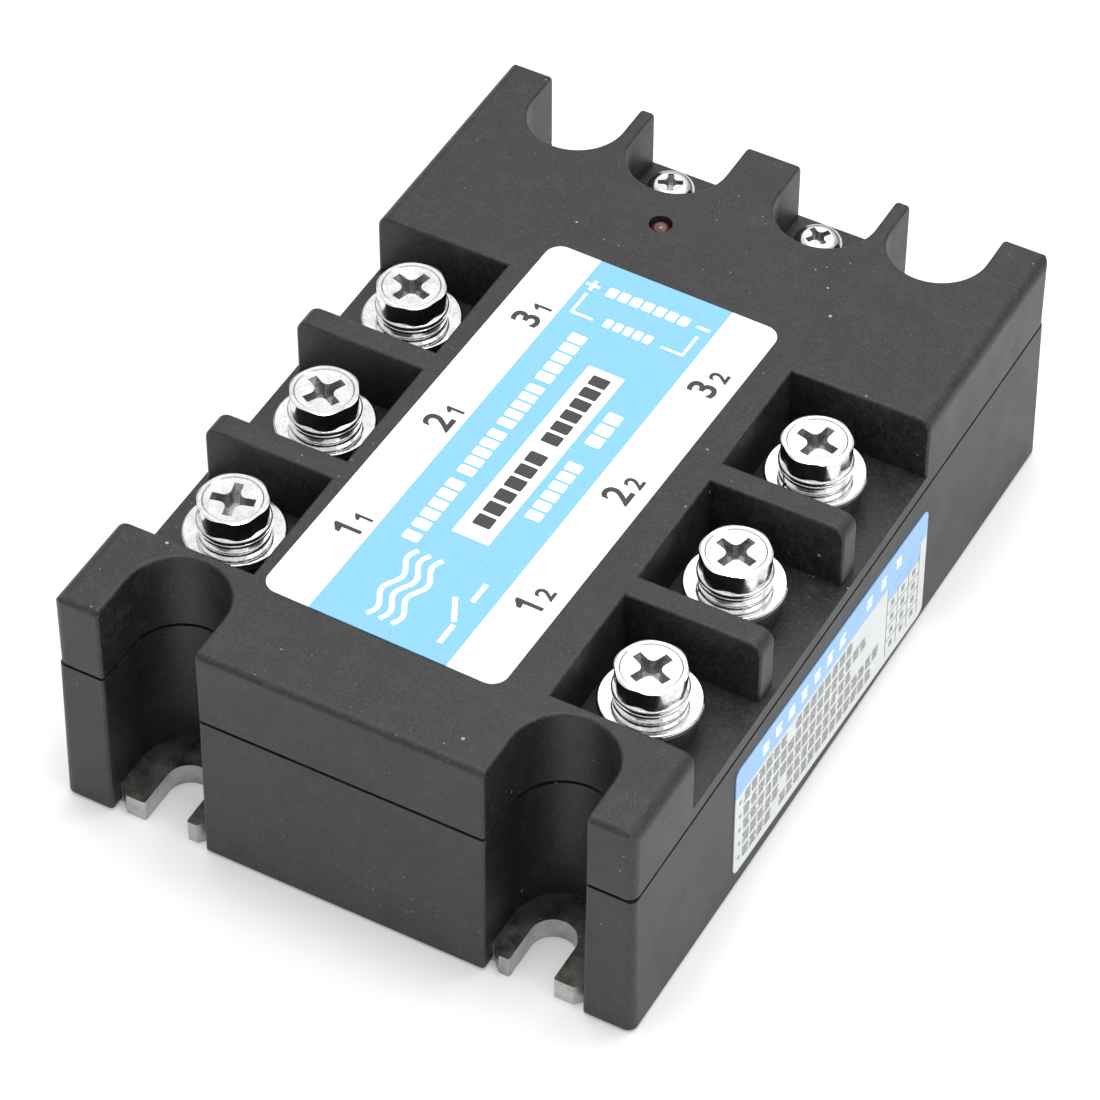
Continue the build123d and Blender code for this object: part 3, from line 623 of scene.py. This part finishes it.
def side_print(grey, white, blue):
    """Rows of small hatched blocks under a blue header, and a small table."""
    place = side_place()
    rows, head, table = Print(place), Print(place), Print(place)
    half = SIDE_LABEL_SIZE[1] / 2
    row_pitch, block_pitch = 2.24, 1.83
    table_rows, table_columns = 2.22, 2.83
    rule = 0.14
    rng = random.Random(11)

    def patch(target, x, y, width, height, lines=4):
        """Short strokes that fill a small block, with links between them, each one different."""
        pitch = height / lines
        stroke = 0.62 * pitch
        for line in range(lines):
            level = y + (line - (lines - 1) / 2) * pitch
            length = width * rng.uniform(0.72, 1.0)
            shift = (width - length) * rng.uniform(-0.5, 0.5)
            target.block(x + shift, level, length, stroke)
            if line:
                link = x + width * rng.uniform(-0.28, 0.28)
                target.block(link, level - pitch / 2, 0.3 * width, pitch - stroke - 0.02)

    for start, count, step in ((-17.2, 7, 3.2), (8.9, 3, 3.9)):
        for i in range(count):
            patch(head, start + i * step, half - 2.25, 1.7, 1.8, 3)
    # each row: its length in steps, and where it has a gap
    for row, (length, gap) in enumerate(((15, 6), (17, -1), (15, -1), (19, 5), (18, 4))):
        y = half - 5.6 - row * row_pitch
        rows.block(-23.2, y, 0.5, 0.5)
        for i in range(length):
            if i != gap:
                patch(rows, -21.6 + i * block_pitch, y, 1.6, 1.8)
    # the table: a blue head over a grid of short marks
    table.block(18.4, half - 5.45, 8.5, 2.2)
    for i in range(4):
        rows.block(14.15 + i * table_columns, half - 9.9, rule, 11.1)
    for row in range(4):
        for column in range(3):
            x = 15.565 + column * table_columns
            rows.block(x, half - 6.57 - row * table_rows, 2.67, rule)
            patch(rows, x, half - 7.7 - row * table_rows, 1.0, 1.0, 3)
    rows.make("side_print_blocks", grey)
    head.make("side_print_header", white)
    table.make("side_print_table_head", blue)


def ink(name, tone, rough=(0.35, 0.5)):
    g = Graph(name)
    patchy = g.noise(1800, 4, 0.65)
    light = tuple(min(1.0, c * 1.12 + 0.01) for c in tone)
    tint = g.mix(g.span(patchy, 0.3, 0.7), tone, light)
    low, high = rough
    return g.finish(
        tint, g.span(g.noise(500), 0.3, 0.7, low, high), g.bump(patchy, 0.06, 0.00002)
    )


# ---------------------------------------------------------------- studio
def sky(tree):
    """A bright tent overhead that falls off towards the horizon."""
    background = tree.nodes["Background"]
    background.inputs["Color"].default_value = (1, 1, 1, 1)
    place = tree.nodes.new("ShaderNodeTexCoord")
    split = tree.nodes.new("ShaderNodeSeparateXYZ")
    fade = tree.nodes.new("ShaderNodeMapRange")
    tree.links.new(place.outputs["Generated"], split.inputs[0])
    tree.links.new(split.outputs[2], fade.inputs["Value"])
    for name, number in zip(("From Min", "From Max", "To Min", "To Max"), SKY_FADE):
        fade.inputs[name].default_value = number
    tree.links.new(fade.outputs["Result"], background.inputs["Strength"])


def studio():
    scene = bpy.context.scene
    scene.view_settings.view_transform = "Standard"
    world = bpy.data.worlds.new("studio")
    scene.world = world
    world.use_nodes = True
    sky(world.node_tree)

    g = Graph("floor_paper")
    tint = g.mix(g.noise(6, 3, 0.5), (0.78, 0.78, 0.78), (0.8, 0.8, 0.8))
    paper = g.finish(
        tint,
        g.span(g.noise(40), 0.3, 0.7, 0.7, 0.8),
        Emission_Color=(1, 1, 1, 1),
        Emission_Strength=FLOOR_GLOW,
    )
    bm = bmesh.new()
    bmesh.ops.create_grid(bm, x_segments=8, y_segments=8, size=3.0)
    data = bpy.data.meshes.new("floor")
    bm.to_mesh(data)
    bm.free()
    floor = bpy.data.objects.new("floor", data)
    data.materials.append(paper)
    scene.collection.objects.link(floor)

    for name, at, size, power in (
        ("softbox_above", (0.05, 0.3, 0.9), 0.9, 2.4),
        ("lamp_left", (-0.07, 0.02, 0.8), 0.1, 0.6),
        ("lamp_right", (0.09, 0.1, 0.8), 0.1, 0.6),
        ("softbox_right", (0.75, 0.0, 0.6), 0.6, 1.5),
    ):
        light = bpy.data.lights.new(name, "AREA")
        light.shape = "SQUARE"
        light.size = size
        light.energy = power
        holder = bpy.data.objects.new(name, light)
        scene.collection.objects.link(holder)
        holder.location = at
        look = AIM - Vector(at)
        holder.rotation_euler = look.to_track_quat("-Z", "Y").to_euler()


def camera():
    back = Vector(
        (
            math.sin(AZIMUTH) * math.cos(ELEVATION),
            -math.cos(AZIMUTH) * math.cos(ELEVATION),
            math.sin(ELEVATION),
        )
    )
    lens = bpy.data.cameras.new("camera")
    lens.lens = LENS
    lens.sensor_width = 36.0
    lens.clip_start = 0.01
    lens.clip_end = 20.0
    holder = bpy.data.objects.new("camera", lens)
    bpy.context.scene.collection.objects.link(holder)
    upright = (-back).to_track_quat("-Z", "Y").to_matrix().to_4x4()
    holder.matrix_world = (
        Matrix.Translation(AIM + back * DISTANCE) @ upright @ Matrix.Rotation(ROLL, 4, "Z")
    )
    bpy.context.scene.camera = holder


studio()
camera()
paint_nodes()
black_ink = ink("black_ink", (0.02, 0.02, 0.021))
white_ink = ink("white_ink", (0.93, 0.94, 0.95))
grey_ink = ink("grey_ink", (0.26, 0.265, 0.26))
blue_ink = ink("blue_ink", (0.27, 0.5, 0.85))
top_print(black_ink, white_ink)
side_print(grey_ink, white_ink, blue_ink)
